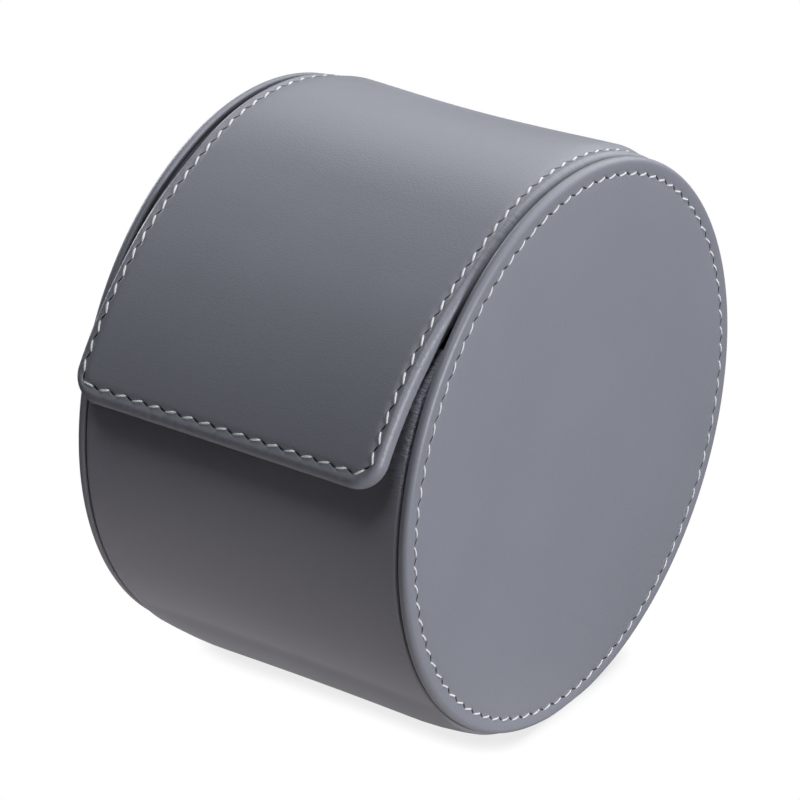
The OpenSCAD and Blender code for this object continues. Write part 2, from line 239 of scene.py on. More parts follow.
# %% Node helpers
class Nodes:
    """Shorthand for a node tree: makes a node, sets its values and links its inputs."""

    def __init__(self, tree):
        self.tree = tree

    def feed(self, node, **outputs):
        """Links outputs to a node's inputs, named with _ where the input has a space."""
        for key, output in outputs.items():
            self.tree.links.new(output, node.inputs[key.replace("_", " ")])

    def add(self, kind, values=None, **settings):
        node = self.tree.nodes.new(kind)
        for key, value in settings.items():
            setattr(node, key, value)
        for key, value in (values or {}).items():
            socket = node.inputs[key]
            if isinstance(value, bpy.types.NodeSocket):
                self.tree.links.new(value, socket)
            else:
                socket.default_value = value
        return node

    def math(self, operation, *values):
        return self.add("ShaderNodeMath", dict(enumerate(values)), operation=operation).outputs[0]

    def times(self, a, b):
        """The product of two values."""
        return self.math("MULTIPLY", a, b)

    def ramp(self, value, low, high, to_low=0.0, to_high=1.0):
        node = self.add("ShaderNodeMapRange", {"Value": value, "From Min": low, "From Max": high,
                                               "To Min": to_low, "To Max": to_high},
                        interpolation_type="SMOOTHSTEP")
        return node.outputs["Result"]

    def noise(self, place, scale, detail, roughness):
        """Cloudy noise between 0 and 1."""
        return self.add("ShaderNodeTexNoise", {"Vector": place, "Scale": scale, "Detail": detail,
                                               "Roughness": roughness}).outputs[0]

    def shaded(self, color, shade):
        """A colour times a number."""
        return self.add("ShaderNodeVectorMath", {0: color, 3: shade}, operation="SCALE").outputs[0]

    def bump(self, height, strength, millimetres):
        """A normal tilted by a height, given as a share of so many millimetres."""
        return self.add("ShaderNodeBump", {"Height": height, "Strength": strength,
                                           "Distance": millimetres * MM}).outputs[0]

    def object_place(self):
        """Place on the object in metres."""
        return self.add("ShaderNodeTexCoord").outputs["Object"]


def new_group(name, inputs, outputs):
    """An empty node group with named inputs (name: (type, start value)) and outputs."""
    tree = bpy.data.node_groups.new(name, "ShaderNodeTree")
    for label, (kind, value) in inputs.items():
        socket = tree.interface.new_socket(label, in_out="INPUT", socket_type=kind)
        if value is not None:
            socket.default_value = value
    for label, kind in outputs.items():
        tree.interface.new_socket(label, in_out="OUTPUT", socket_type=kind)
    nodes = Nodes(tree)
    return nodes, nodes.add("NodeGroupInput"), nodes.add("NodeGroupOutput")


def new_material(name, **principled):
    """A material with a Principled BSDF whose constant values are set on its own sockets."""
    material = bpy.data.materials.new(name)
    material.use_nodes = True
    shader = material.node_tree.nodes["Principled BSDF"]
    for key, value in principled.items():
        shader.inputs[key.replace("_", " ")].default_value = value
    return material, Nodes(material.node_tree), shader


def srgb(red, green, blue, alpha=1.0):
    """Scene colour of an 8-bit screen colour."""
    values = np.array([red, green, blue]) / 255.0
    linear = np.where(values <= 0.04045, values / 12.92, ((values + 0.055) / 1.055) ** 2.4)
    return (*[float(v) for v in linear], alpha)


FLOAT, VECTOR, COLOR = "NodeSocketFloat", "NodeSocketVector", "NodeSocketColor"

# %% The grain of smooth calf leather
# Small rounded cells about a third of a millimetre wide, over a slow unevenness.
nodes, given, result = new_group(
    "leather_grain",
    {"Place": (VECTOR, None), "Cell size mm": (FLOAT, 0.35), "Base": (COLOR, None),
     "Unevenness": (FLOAT, 0.05)},
    {"Height": FLOAT, "Color": COLOR, "Roughness shift": FLOAT})
place = given.outputs["Place"]
per_metre = nodes.math("DIVIDE", 1000.0, given.outputs["Cell size mm"])
cells = nodes.add("ShaderNodeTexVoronoi", {"Vector": place, "Scale": per_metre,
                                           "Randomness": 0.9}, feature="F1")
cell_height = nodes.ramp(cells.outputs["Distance"], 0.1, 0.75, 1.0, 0.0)
fine = nodes.noise(place, per_metre, 3.0, 0.6)
uneven = nodes.math("SUBTRACT", nodes.noise(place, 45.0, 3.0, 0.5), 0.5)
height = nodes.math("ADD", nodes.times(cell_height, 0.6), nodes.times(fine, 0.6))
shade = nodes.math("MULTIPLY_ADD", uneven, given.outputs["Unevenness"], 1.0)
shade = nodes.times(shade, nodes.math("MULTIPLY_ADD", cell_height, 0.035, 0.98))
nodes.feed(result, Height=height, Color=nodes.shaded(given.outputs["Base"], shade),
           Roughness_shift=nodes.times(uneven, 0.12))
leather_grain = nodes.tree

# %% The nap of suede
# Short fibres brushed one way: noise drawn out along one direction, in two sizes.
nodes, given, result = new_group(
    "suede_nap", {"Place": (VECTOR, None), "Base": (COLOR, None), "Contrast": (FLOAT, 0.25)},
    {"Height": FLOAT, "Color": COLOR})
brushed = nodes.add("ShaderNodeMapping", {"Vector": given.outputs["Place"],
                                          "Scale": (1.0, 0.45, 0.8), "Rotation": (0.3, 0.2, 0.5)})
fibres = nodes.noise(brushed.outputs[0], 3200.0, 4.0, 0.75)
patches = nodes.noise(given.outputs["Place"], 110.0, 4.0, 0.6)
mixed = nodes.math("ADD", nodes.times(fibres, 0.6), nodes.times(patches, 0.4))
shade = nodes.math("MULTIPLY_ADD", nodes.math("SUBTRACT", mixed, 0.5),
                   nodes.times(given.outputs["Contrast"], 4.0), 1.0)
nodes.feed(result, Height=mixed, Color=nodes.shaded(given.outputs["Base"], shade))
suede_nap = nodes.tree

# %% Needle holes along a stitched line
# The piece's map gives how many stitches along the line a point lies, and how far
# off it in millimetres. A hole stands at each whole number, a short slit whose mask
# both sinks the leather and paints it nearly black, painted shade in the hole; the
# thread pulls the leather down around it.
nodes, given, result = new_group(
    "needle_holes", {"Seam place": (VECTOR, None), "Half length": (FLOAT, 0.60),
                     "Half width": (FLOAT, 0.15), "Pitch mm": (FLOAT, STITCH_PITCH)},
    {"Hole": FLOAT, "Pull": FLOAT})
split = nodes.add("ShaderNodeSeparateXYZ", {"Vector": given.outputs["Seam place"]})
turns = split.outputs["X"]
nearest = nodes.math("ROUND", turns)
forth = nodes.times(nodes.math("SUBTRACT", turns, nearest), given.outputs["Pitch mm"])
off = nodes.math("MULTIPLY_ADD", forth, 0.42, split.outputs["Y"])
long_way = nodes.math("DIVIDE", forth, given.outputs["Half length"])
wide_way = nodes.math("DIVIDE", off, given.outputs["Half width"])
reach = nodes.math("SQRT", nodes.math("ADD", nodes.times(long_way, long_way),
                                      nodes.times(wide_way, wide_way)))
nodes.feed(result, Hole=nodes.ramp(reach, 0.55, 1.15, 1.0, 0.0),
           Pull=nodes.ramp(reach, 0.6, 2.8, 1.0, 0.0))
needle_holes = nodes.tree


# %% Leather
GRAIN_HEIGHT, PULL_DEPTH, HOLE_DEPTH = 0.018, 0.07, 0.35


def leather(name, base, roughness=0.43, stitched=False, creased=0.0, tucked=0.0):
    """Smooth dyed leather; stitched adds needle holes, creased is the depth in millimetres
    of the fine lines that a skin pulled round an edge gets across its seam, deepest in
    front, where the mouth's edge pulls on it, and tucked is that of the soft tucks across
    a turned edge, beside its stitched line."""
    material, nodes, shader = new_material(
        name, Specular_IOR_Level=0.5, Sheen_Weight=0.06, Sheen_Roughness=0.45)
    place = nodes.object_place()
    skin = nodes.add("ShaderNodeGroup", {"Place": place, "Base": base, "Unevenness": 0.10},
                     node_tree=leather_grain)
    height = nodes.times(skin.outputs["Height"], GRAIN_HEIGHT)
    color = skin.outputs["Color"]
    if creased:
        apart = nodes.add("ShaderNodeSeparateXYZ", {"Vector": place})
        creases = nodes.add("ShaderNodeMapping", {"Vector": place, "Scale": (0.16, 1.0, 1.0)})
        lines = nodes.noise(creases.outputs[0], 2300.0, 2.0, 0.55)
        near_edge = nodes.ramp(nodes.math("ABSOLUTE", apart.outputs["X"]), 0.0262, 0.0290)
        in_front = nodes.times(nodes.ramp(apart.outputs["Y"], -0.018, -0.030),
                               nodes.ramp(apart.outputs["Z"], 0.052, 0.066))
        here = nodes.times(near_edge, nodes.ramp(in_front, 0.0, 1.0, 0.12, 1.0))
        ridge = nodes.times(nodes.ramp(lines, 0.34, 0.68), here)
        height = nodes.math("MULTIPLY_ADD", ridge, creased, height)
    if stitched:
        line = nodes.add("ShaderNodeUVMap", uv_map="seam_line").outputs[0]
        place_on_line = nodes.add("ShaderNodeSeparateXYZ", {"Vector": line})
        outwards = nodes.times(place_on_line.outputs["Y"], -1.0)
        gathered = nodes.add("ShaderNodeMapping", {"Vector": line, "Scale": (1.0, 0.12, 1.0)})
        tucks = nodes.noise(gathered.outputs[0], 2.6, 2.0, 0.55)
        band = nodes.times(nodes.ramp(outwards, 0.4, 1.3), nodes.ramp(outwards, 4.5, 2.8))
        height = nodes.math("MULTIPLY_ADD", nodes.times(tucks, band), tucked, height)
        holes = nodes.add("ShaderNodeGroup", {"Seam place": line}, node_tree=needle_holes)
        height = nodes.math("MULTIPLY_ADD", holes.outputs["Pull"], -PULL_DEPTH, height)
        height = nodes.math("MULTIPLY_ADD", holes.outputs["Hole"], -HOLE_DEPTH, height)
        # Painted shade: the Hole mask paints each needle hole nearly black.
        mix = nodes.add("ShaderNodeMix", {"Factor": holes.outputs["Hole"], "A": color,
                                          "B": (0.004, 0.004, 0.005, 1.0)},
                        data_type="RGBA")
        color = mix.outputs[2]
    nodes.feed(shader, Base_Color=color, Normal=nodes.bump(height, 1.0, 1.0),
               Roughness=nodes.math("ADD", skin.outputs["Roughness shift"], roughness))
    return material


GREY = srgb(131, 134, 145)
cap_leather = leather("cap_leather", GREY, stitched=True)
flap_leather = leather("flap_leather", GREY, stitched=True, tucked=0.16)
barrel_leather = leather("barrel_leather", GREY, creased=0.18)
print("leathers:", cap_leather.name, flap_leather.name, barrel_leather.name)

# %% Suede, thread, board, foam and nickel
def suede(name, base):
    """Soft, rough suede with its nap."""
    material, nodes, shader = new_material(name, Specular_IOR_Level=0.15, Sheen_Weight=0.35,
                                           Sheen_Roughness=0.55, Roughness=0.95)
    nap = nodes.add("ShaderNodeGroup", {"Place": nodes.object_place(), "Base": base,
                                        "Contrast": 0.22}, node_tree=suede_nap)
    nodes.feed(shader, Base_Color=nap.outputs["Color"],
               Normal=nodes.bump(nap.outputs["Height"], 0.5, 0.25))
    return material


lining_suede = suede("lining_suede", srgb(92, 94, 102))
cushion_suede = suede("cushion_suede", srgb(104, 106, 115))

# %% [markdown]
# Thread is two plies twisted together. Each stitch's own map runs along it and
# around it, so a diagonal wave over that map draws the twist, and darkens the
# grooves between the plies as painted shade.

# %% Waxed thread
thread, nodes, shader = new_material("waxed_thread", Roughness=0.6, Specular_IOR_Level=0.3)
ply = nodes.add("ShaderNodeSeparateXYZ", {
    "Vector": nodes.add("ShaderNodeUVMap", uv_map="seam_line").outputs[0]})
turn = nodes.math("ADD", nodes.times(ply.outputs["X"], 3.0), ply.outputs["Y"])
wave = nodes.math("ABSOLUTE", nodes.math("SINE", nodes.times(turn, 2.0 * math.pi)))
# Painted shade: the colour falls to 0.72 in the grooves between the plies.
shade = nodes.ramp(wave, 0.0, 0.6, 0.72, 1.0)
nodes.feed(shader, Base_Color=nodes.shaded(srgb(240, 241, 244)[:3], shade),
           Normal=nodes.bump(wave, 0.6, 0.08))


def fibre_finish(name, base, scale, contrast, roughness, metallic=0.0):
    """A plain inner material: its colour and roughness vary a little with noise."""
    material, nodes, shader = new_material(name, Metallic=metallic)
    noise = nodes.noise(nodes.object_place(), scale, 5.0, 0.7)
    shade = nodes.ramp(noise, 0.25, 0.75, 1.0 - contrast, 1.0 + contrast)
    nodes.feed(shader, Base_Color=nodes.shaded(base[:3], shade),
               Roughness=nodes.ramp(noise, 0.2, 0.8, roughness - 0.06, roughness + 0.06),
               Normal=nodes.bump(noise, 0.4, 0.2))
    return material


board = fibre_finish("fibre_board", srgb(196, 186, 170), 900.0, 0.14, 0.85)
foam = fibre_finish("cut_foam", srgb(230, 228, 220), 1500.0, 0.10, 0.95)
nickel = fibre_finish("nickel_plate", srgb(205, 205, 208), 500.0, 0.03, 0.28, metallic=1.0)


def finish(piece, material):
    """Gives a piece its one material."""
    piece.data.materials.clear()
    piece.data.materials.append(material)
    return piece


for node, material in {
        "barrel_board": board, "left_cap_board": board, "right_cap_board": board,
        "flap_board": board, "left_cap_pad": foam, "right_cap_pad": foam,
        "cushion_core": foam, "barrel_magnets": nickel, "flap_magnets": nickel}.items():
    finish(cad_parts[node], material)
print("inner nodes dressed")

# %% [markdown]
# ## The barrel's leather
# One skin is pulled round the barrel, turned over the front lip, and glued down
# inside it. Seen from the side, its outer face follows the barrel's circle from the
# fold behind, under the case and up to the lip. There it is pared down so that the
# flap has room, and rolls over the edge. Along the barrel it is drawn in a little at
# the middle, and its two ends are rounded where they meet the caps.

# %% Profile along the barrel
def side_columns(half_width, fine=5.0, fine_step=0.25, coarse=19):
    """Places across a skin, close together near its two edges where the shape is busy."""
    edge = np.arange(0.0, fine + 1e-9, fine_step)
    edge = np.concatenate([[0.0, 0.04, 0.1, 0.17], edge[1:]])
    middle = np.linspace(-(half_width - fine), half_width - fine, coarse)[1:-1]
    return np.concatenate([-half_width + edge, middle, (half_width - edge)[::-1]])


def rolled(to_edge, radius):
    """Depth lost at a rounded edge: a quarter circle of the given radius."""
    inside = np.clip(radius - to_edge, 0.0, radius)
    return radius - np.sqrt(np.maximum(radius ** 2 - inside ** 2, 0.0))


def waist(x, half_width):
    """How far a skin is drawn in, with one less the square of the place across."""
    return WAIST * (1.0 - np.clip(np.abs(x) / half_width, 0, 1) ** 2)


def under_flap(degrees, depth):
    """Radius that stays under the flap's inner face: the far crossing of a ray from the
    barrel's axis with the circle about the tail's centre."""
    reach = TAIL_RADIUS - FLAP_DEPTH - 0.3 - depth
    centre = np.hypot(*TAIL_CENTRE)
    lean = np.degrees(np.arctan2(TAIL_CENTRE[1], -TAIL_CENTRE[0]))
    delta = np.radians(degrees - lean)
    return centre * np.cos(delta) + np.sqrt(reach ** 2 - (centre * np.sin(delta)) ** 2)


SEAT_OFFSET, SEAT_HEIGHT, SEAT_RADIUS = 9.5, 29.95, 30.0


def sat_down(degrees):
    """Radius of the two fuller curves beside the barrel's flat: the far crossing of a ray
    from the axis with a circle that stands on the ground at either end of the flat."""
    a = np.radians(degrees)
    dy, dz = -np.cos(a), np.sin(a)
    cy, cz = np.sign(dy) * SEAT_OFFSET, SEAT_HEIGHT - AXIS_HEIGHT
    reach = cy * dy + cz * dz
    return reach + np.sqrt(np.maximum(SEAT_RADIUS ** 2 - (cy ** 2 + cz ** 2) + reach ** 2, 0.0))


def smooth_step(t):
    """From 0 to 1 with level ends: the square of t times three less two t."""
    t = np.clip(t, 0, 1)
    return t ** 2 * (3 - 2 * t)


def smooth_least(a, b, width):
    """The lesser of two values, blended where they are within a width of each other."""
    h = np.clip(0.5 + 0.5 * (b - a) / width, 0, 1)
    return b * (1 - h) + a * h - width * h * (1 - h)


# %% Barrel skin
LIP_ROUND, END_ROUND, BODY_TOP = 0.9, 0.5, 30.0
FULL_UP_TO, FULL_LOSS, CLEAR_OF_FLAP = 19.0, 0.65, 12.0
across = side_columns(HALF_LENGTH, fine=3.0)
body = np.linspace(WALL_REAR_ANGLE, BODY_TOP, 200)
upper = np.linspace(BODY_TOP, LIP_ANGLE - math.degrees(LIP_ROUND / CASE_RADIUS), 24)[1:]
bend = np.radians(np.linspace(0.0, 90.0, 9)[1:])
inside = np.linspace(LIP_ANGLE - 0.9, TURNED_IN_TO, 14)[1:]


def barrel_face(x):
    """Outer face at one place along the barrel, as (radius, angle) from rear to inner end."""
    drawn = waist(x, HALF_LENGTH)
    edge = rolled(HALF_LENGTH - abs(x), END_ROUND)
    a = np.concatenate([body, upper])
    full = -smooth_least(np.full_like(a, -CASE_RADIUS), -np.maximum(sat_down(a), 40.0), 0.3)
    towards_end = np.clip((abs(x) - FULL_UP_TO) / (HALF_LENGTH - FULL_UP_TO), 0, 1)
    full = CASE_RADIUS + (full - CASE_RADIUS) * (1 - FULL_LOSS * towards_end ** 2)
    full = full - drawn - edge
    r = smooth_least(full, under_flap(a, edge), 0.25)
    r = np.where(a < CLEAR_OF_FLAP, full, r)
    fold_r = r[-1] - LIP_ROUND + LIP_ROUND * np.cos(bend)
    fold_a = a[-1] + np.degrees(LIP_ROUND * np.sin(bend) / CASE_RADIUS)
    down_r = np.linspace(fold_r[-1], BORE, 4)[1:]
    down_a = np.array([LIP_ANGLE, LIP_ANGLE - 0.3, LIP_ANGLE - 0.9])
    return (np.concatenate([r, fold_r, down_r, np.full(len(inside), BORE)]),
            np.concatenate([a, fold_a, down_a, inside]))


faces = [barrel_face(x) for x in across]
outer_r, outer_a = (np.stack([face[k] for face in faces], 1) for k in range(2))
board_top = LIP_ANGLE - 3.6
n_down, n_in = len(bend) + 3, len(inside)
wall_a = np.concatenate([body, np.linspace(BODY_TOP, board_top, len(upper) + 1)[1:]])
wall_r = np.minimum(BOARD_OUTER, under_flap(wall_a, LEATHER))
inner_a = np.concatenate([wall_a, np.full(n_down, board_top),
                          np.linspace(board_top, TURNED_IN_TO, n_in)])
inner_r = np.concatenate([wall_r, np.linspace(wall_r[-1], BOARD_INNER, n_down + 2)[1:-1],
                          np.full(n_in, BOARD_INNER)])
outer = around_axis(across[None, :], outer_r, outer_a)
inner = around_axis(across[None, :], inner_r[:, None], inner_a[:, None])
outer[..., 2] = np.maximum(outer[..., 2], 0.0)
barrel = finish(sheet("barrel_skin", outer, inner), barrel_leather)
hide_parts("barrel_leather")
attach(barrel, "case")

# %% [markdown]
# ## The flap
# The flap's leather is wrapped round a thin springy board and turned in on three
# sides. Its outer face is a grid over the width and the distance from the fold. The
# distance to the flap's outline, taken as that of a rectangle with two round corners,
# gives the rolled edge, and the distance to the stitched line gives the shallow
# channel that the thread pulls into the leather.

# %% Outline and stitched line of the flap
FLAP_HALF = 29.65
FLAP_CORNER = 5.0
STITCH_HALF, STITCH_END, STITCH_CORNER = 27.4, FLAP_LENGTH - 2.5, 2.6
SEAM_STRAIGHT = STITCH_END - STITCH_CORNER
SEAM_QUARTER = math.pi / 2 * STITCH_CORNER
SEAM_ACROSS = STITCH_HALF - STITCH_CORNER
SEAM_MIDDLE = SEAM_STRAIGHT + SEAM_QUARTER + SEAM_ACROSS
EDGE_ROLL, EDGE_UNDER = 1.5, 1.0
LOW_ARCH, SWELLING, SWELLING_AT, HELD_DOWN = 5.4, 1.1, 0.15, 3.2
FLAP_CHANNEL = 0.16
TAPER, TAPER_FROM, TAPER_OVER = 0.6, ARC_LENGTH + 2.0, 20.0


def fullness(x, distance):
    """How far the flap's skin stands out over its board.

    With t from 0 to 1 over the round part, it goes as t times the square of 1 - t, less
    towards the sides. Near the fold it also swells beside the stitched lines, which hold
    it down: with the square of the place across, and as t times a falling exponential.
    """
    t = np.clip(distance / ARC_LENGTH, 0, 1)
    across = np.clip(np.abs(x) / STITCH_HALF, 0, 1)
    inside_line = smooth_step((STITCH_HALF - np.abs(x)) / HELD_DOWN)
    low_arch = LOW_ARCH * t * (1 - t) ** 2 * (1 - 0.5 * across ** 4)
    swelling = (across ** 2 * inside_line * t / SWELLING_AT * np.exp(1 - t / SWELLING_AT)
                * (1 - t))
    return low_arch + SWELLING * swelling


def inner_depth(distance):
    """Depth of the flap's inner face: it falls away over the slope beside the fold, round
    the end of the board, so that the flap meets the thin fold without a step."""
    return FLAP_DEPTH - (FLAP_DEPTH - FOLD_SKIN) * (1 - np.clip(distance / FOLD_SLOPE, 0, 1))


def flap_half(distance):
    """Half the flap's width, a little less towards its free edge."""
    return FLAP_HALF - TAPER * smooth_step((distance - TAPER_FROM) / TAPER_OVER)


def round_box_distance(x, distance, half, end, corner):
    """Signed distance outwards from a band of a given half width that ends in round corners."""
    qx = np.abs(x) - (half - corner)
    qy = distance - (end - corner)
    outside = np.hypot(np.maximum(qx, 0), np.maximum(qy, 0))
    return outside + np.minimum(np.maximum(qx, qy), 0) - corner


def seam_place(x, distance):
    """Length along the stitched line in stitches, from its left start, and distance off it."""
    side = np.sign(x + 1e-9)
    qx = np.abs(x) - SEAM_ACROSS
    qy = distance - SEAM_STRAIGHT
    turn = np.arctan2(np.maximum(qy, 1e-6), np.maximum(qx, 1e-6)) * STITCH_CORNER
    from_middle = np.where(
        (qy > 0) & (qx > 0), SEAM_ACROSS + SEAM_QUARTER - turn,
        np.where(qy > qx, np.abs(x), SEAM_ACROSS + SEAM_QUARTER + SEAM_STRAIGHT - distance))
    off = round_box_distance(x, distance, STITCH_HALF, STITCH_END, STITCH_CORNER)
    return SEAM_MIDDLE + side * from_middle, off


line_length = 2 * SEAM_MIDDLE
flap_stitches = int(round(line_length / STITCH_PITCH))
flap_pitch = line_length / flap_stitches
print("flap stitches:", flap_stitches, "pitch", round(flap_pitch, 3), "mm")

# %% Flap skin
from_tip = np.concatenate([[0.0, 0.03, 0.08, 0.15], np.arange(0.25, 8.01, 0.25)])
tip = FLAP_LENGTH - from_tip[::-1]
rows = np.concatenate([np.linspace(0.0, tip[0], 150)[:-1], tip])
half_at = flap_half(rows) - rolled(FLAP_LENGTH - rows, FLAP_CORNER)
margin = 5.0
base = side_columns(FLAP_HALF, fine=margin)
edge_gap = FLAP_HALF - np.abs(base)
inner_part = np.abs(base) <= FLAP_HALF - margin
scale = (half_at - margin) / (FLAP_HALF - margin)
x = np.where(inner_part[None, :], base[None, :] * scale[:, None],
             np.sign(base)[None, :] * (half_at[:, None] - edge_gap[None, :]))
s = np.broadcast_to(rows[:, None], x.shape)
to_edge = np.maximum(-round_box_distance(x * FLAP_HALF / flap_half(s), s, FLAP_HALF,
                                         FLAP_LENGTH, FLAP_CORNER), 0)
length, off = seam_place(x, s)
channel = FLAP_CHANNEL * np.exp(-(off / 0.6) ** 2)
depth = waist(x, FLAP_HALF) + rolled(to_edge, EDGE_ROLL) + channel - fullness(x, s)
flap = sheet("flap_skin", flap_surface(x, s, depth),
             flap_surface(x, s, inner_depth(s) - rolled(to_edge, EDGE_UNDER)),
             pairs(length / flap_pitch, -off))
finish(flap, flap_leather)
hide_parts("flap_leather")
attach(flap, "flap")

# %% [markdown]
# ## Stitches
# A saddle stitch is a short length of thread that comes up at one hole, crosses to
# the next and goes down again, a little aslant to the line. One stitch is a bent
# capsule: a circle carried along a low arch, thinner at both ends. All stitches of a
# line are worked out together as one array.

# %% Thread builder
ARCH_HEIGHT, SUNK, ENDS_SUNK, FLATTENED = 0.17, 0.06, 0.12, 0.8


def unit(vectors):
    """Vectors of length one: each divided by its own length."""
    return vectors / np.linalg.norm(vectors, axis=1, keepdims=True)


def stitches(name, centre, direction, normal, pitch, slant=16.0, share=0.66, thick=0.185):
    """Bent capsules at the given centres, aslant to their directions by a turn about the normal.

    Along a stitch, t runs from -1 to 1. Its height over the leather is an arch, one less
    the square of t, and its thickness falls to nothing at both ends as a circle's does.
    """
    a = math.radians(slant)
    sideways = np.cross(normal, direction)
    forward = direction * math.cos(a) + sideways * math.sin(a)
    beside = np.cross(normal, forward)
    t = np.sin(np.linspace(-math.pi / 2, math.pi / 2, 9))[1:-1]
    g = np.linspace(0.0, 2 * math.pi, 8, endpoint=False)
    reach = share * pitch / 2
    arch = ARCH_HEIGHT * (1 - t ** 2) - SUNK
    girth = thick * (1 - t ** 4) ** 0.5
    height = arch[:, None] + girth[:, None] * FLATTENED * np.sin(g)
    spread = girth[:, None] * np.cos(g)
    ring = (centre[:, None, None, :] + forward[:, None, None, :] * (reach * t)[None, :, None, None]
            + normal[:, None, None, :] * height[None, :, :, None]
            + beside[:, None, None, :] * spread[None, :, :, None])
    ends = (centre[:, None, :] + forward[:, None, :] * np.array([-reach, reach])[None, :, None]
            - ENDS_SUNK * normal[:, None, :])
    count, rings, sides = ring.shape[:3]
    points = np.concatenate([ring.reshape(count, -1, 3), ends], 1)
    per = points.shape[1]
    quads = grid_quads(rings, sides, columns_meet=True)[:, [0, 3, 2, 1]]
    j = np.arange(sides)
    k = np.roll(j, -1)
    last = (rings - 1) * sides
    tris = np.concatenate([np.stack([np.full(sides, per - 2), k, j], -1),
                           np.stack([np.full(sides, per - 1), last + j, last + k], -1)])
    map_one = np.concatenate([pairs(t[:, None], g / (2 * math.pi)).reshape(-1, 2),
                              [[-1.0, 0.0], [1.0, 0.0]]])
    step = (np.arange(count) * per)[:, None, None]
    a, b, c = (points[0, quads[0, n]] for n in (0, 1, 3))
    if np.dot(np.cross(b - a, c - a), a - centre[0]) < 0:
        quads, tris = quads[:, ::-1], tris[:, ::-1]
    all_quads, all_tris = (quads[None] + step).reshape(-1, 4), (tris[None] + step).reshape(-1, 3)
    return finish(write_mesh(name, points.reshape(-1, 3), all_quads, all_tris,
                             uv=np.tile(map_one, (count, 1)), uv_triangles=all_tris), thread)


# %% Flap stitches
def on_seam(length):
    """Width and distance of a point at a length along the flap's stitched line."""
    m = length - SEAM_MIDDLE
    side, m = np.sign(m + 1e-9), np.abs(m)
    angle = np.clip((m - SEAM_ACROSS) / STITCH_CORNER, 0, math.pi / 2)
    x = np.where(m < SEAM_ACROSS, m, SEAM_ACROSS + STITCH_CORNER * np.sin(angle))
    y = np.where(m < SEAM_ACROSS + SEAM_QUARTER, SEAM_STRAIGHT + STITCH_CORNER * np.cos(angle),
                 SEAM_STRAIGHT - (m - SEAM_ACROSS - SEAM_QUARTER))
    return side * x, y


def outside_point(length, lift=0.0):
    """Point of the stitched line on the flap's outer face, raised by lift."""
    x, y = on_seam(length)
    return flap_surface(x, y, waist(x, FLAP_HALF) + FLAP_CHANNEL - fullness(x, y) - lift)


def inside_point(length, lift=0.0):
    """Point of the same line on the flap's inner face."""
    x, y = on_seam(length)
    return flap_surface(x, y, FLAP_DEPTH + lift)


where = (np.arange(flap_stitches) + 0.5) * flap_pitch
for name, point in (("flap_stitches", outside_point), ("flap_inner_stitches", inside_point)):
    centre = point(where)
    direction = unit(point(where + 0.2) - point(where - 0.2))
    normal = point(where, 1.0) - centre
    normal -= direction * np.einsum("ij,ij->i", normal, direction)[:, None]
    flap_thread = stitches(name, centre, direction, unit(normal), flap_pitch)
    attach(flap_thread, "flap")

# %% [markdown]
# ## The caps
# A cap is a disc of board with foam on it, under one skin that is drawn over the rim
# and glued behind. Its profile starts at the middle of the puffed face, sinks a little
# into the stitched channel, rolls over the rim, and comes back behind the board.
# Turned about the barrel's axis it makes the skin, and the part below the ground is
# pressed flat, which is what stops the case from rolling.

# %% Cap profile
SEAM = 0.22
BOARD_X = HALF_LENGTH + 0.5 + 0.6
RIM_X = BOARD_X + 0.7
STITCH_RADIUS = 44.9
DOME_RADIUS = 44.1
CROWN = 1.2
CAP_STITCHES = 87
CAP_CHANNEL = 0.16
RIM_START, RIM_ROLL, BACK_ROLL, PROUD = 46.6, 0.9, 0.4, 0.05


def cap_profile():
    """(radius, place along the barrel) from the middle of the face, over the rim, to behind."""
    r = np.concatenate([np.linspace(0.0, 38.0, 24), np.linspace(38.0, RIM_START, 40)[1:]])
    dome = CROWN * np.clip(1 - (r / DOME_RADIUS) ** 4, 0, 1)
    channel = CAP_CHANNEL * np.exp(-((r - STITCH_RADIUS) / 0.7) ** 2)
    top = pairs(r, RIM_X + dome - channel + PROUD)
    a = np.radians(np.linspace(0, 90, 9))[1:]
    rim = pairs(RIM_START + RIM_ROLL * np.sin(a), RIM_X + PROUD - RIM_ROLL * (1 - np.cos(a)))
    b = np.radians(np.linspace(0, 90, 8))[1:]
    back = pairs(CASE_RADIUS - BACK_ROLL * (1 - np.cos(b)),
                 HALF_LENGTH + SEAM + BACK_ROLL * (1 - np.sin(b)))
    under = np.array([[46.3, HALF_LENGTH + SEAM], [46.25, HALF_LENGTH + 0.5],
                      [46.25, BOARD_X], [44.2, BOARD_X]])
    q = np.linspace(44.0, 0.0, 24)
    foam_face = pairs(q, BOARD_X + CROWN * np.clip(1 - (q / DOME_RADIUS) ** 2, 0, 1))
    return np.concatenate([top, rim, back, under, foam_face])


def cap_turn(side):
    """Turns a cap's profile about the barrel's axis and presses it flat on the ground."""
    def turn(radius, place, angle):
        points = around_axis(side * place, radius, angle)
        points[..., 2] = np.maximum(points[..., 2], 0.0)
        return points
    return turn


def cap_map(side):
    """A cap's map: stitches along the line, and millimetres off it."""
    def place(radius, share):
        return pairs(share * CAP_STITCHES, side * (radius - STITCH_RADIUS))
    return place


profile = cap_profile()
for side, word in SIDES:
    cap = finish(lathe(f"{word}_cap_skin", profile, cap_turn(side), 360, cap_map(side)),
                 cap_leather)
    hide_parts(f"{word}_cap_leather")
    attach(cap, "case")
    angle = (np.arange(CAP_STITCHES) + 0.5) * 360.0 / CAP_STITCHES
    centre = around_axis(side * (RIM_X + PROUD - CAP_CHANNEL), STITCH_RADIUS, angle)
    direction = around_axis(0.0, 1.0, angle + 90.0) - around_axis(0.0, 0.0, angle)
    normal = np.broadcast_to(np.array([float(side), 0.0, 0.0]), centre.shape)
    thread_ring = stitches(f"{word}_cap_stitches", centre, direction, normal,
                           2 * math.pi * STITCH_RADIUS / CAP_STITCHES, thick=0.165)
    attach(thread_ring, "case")

